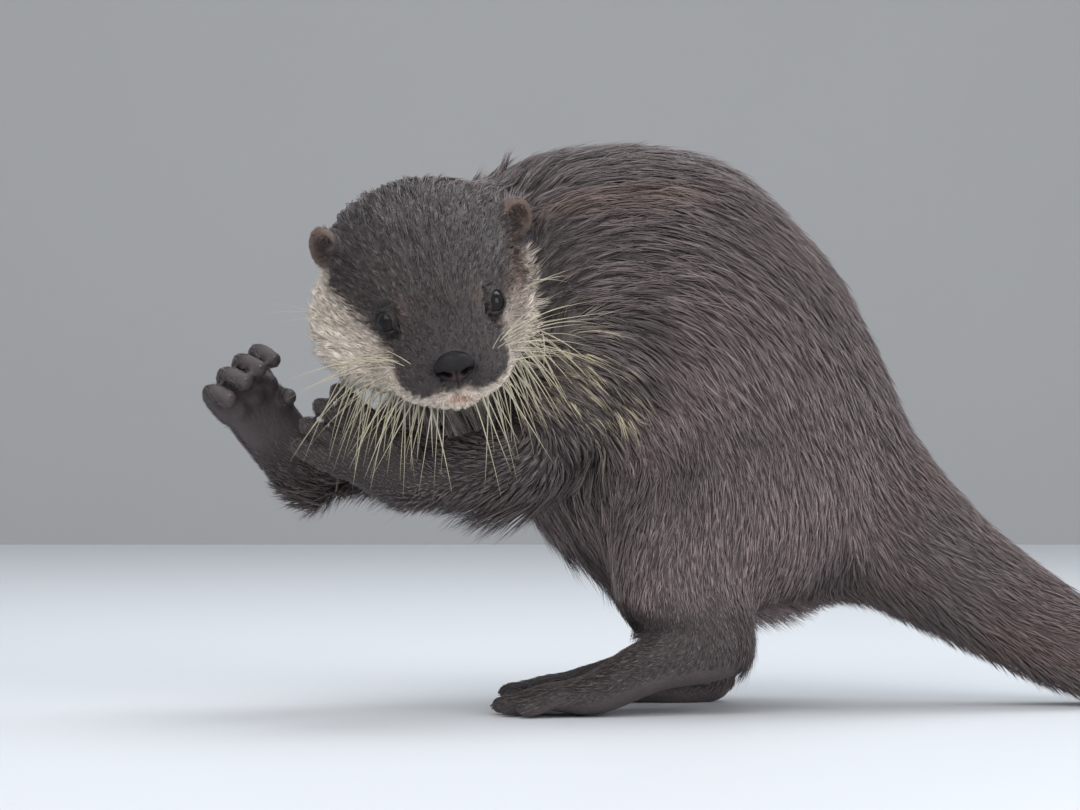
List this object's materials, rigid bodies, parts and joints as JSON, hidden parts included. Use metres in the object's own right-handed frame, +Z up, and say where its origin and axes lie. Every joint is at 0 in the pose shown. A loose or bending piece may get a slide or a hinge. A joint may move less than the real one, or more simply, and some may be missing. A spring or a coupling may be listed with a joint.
{
  "type": "otter",
  "caption": "Life-size still model of a small-clawed otter that stands on its hind feet with an arched back, forepaws raised to grip, head turned and tail on the floor.",
  "frame": {"origin": "centre of the whole box's underside, on the floor", "axes": "+Z up, +X toward the tail's tip (the longest extent), the animal's left side toward -Y"},
  "size_m": [0.4846, 0.1788, 0.2232],
  "materials": {
    "fur": "wet dark brown fur in clumped strands, cream on the cheeks and chin",
    "tail_fur": "short reddish brown fur, lying flat",
    "paw_skin": "wet dark skin with very short hair",
    "nose_skin": "moist dark skin",
    "eye": "polished dark brown, nearly black"
  },
  "bodies": {
    "root": {"abdomen": "fur", "chest": "fur", "ear_left": "fur", "ear_right": "fur", "eye_left": "eye", "eye_right": "eye", "forearm_left": "fur", "forearm_right": "fur", "forepaw_left": "paw_skin", "forepaw_right": "paw_skin", "head": "fur", "hind_foot_left": "paw_skin", "hind_foot_right": "paw_skin", "neck": "fur", "nose": "nose_skin", "rump": "fur", "shank_left": "fur", "shank_right": "fur", "tail_base": "tail_fur", "tail_middle": "tail_fur", "tail_tip": "tail_fur", "thigh_left": "fur", "thigh_right": "fur", "upper_arm_left": "fur", "upper_arm_right": "fur"}
  },
  "joints": []
}
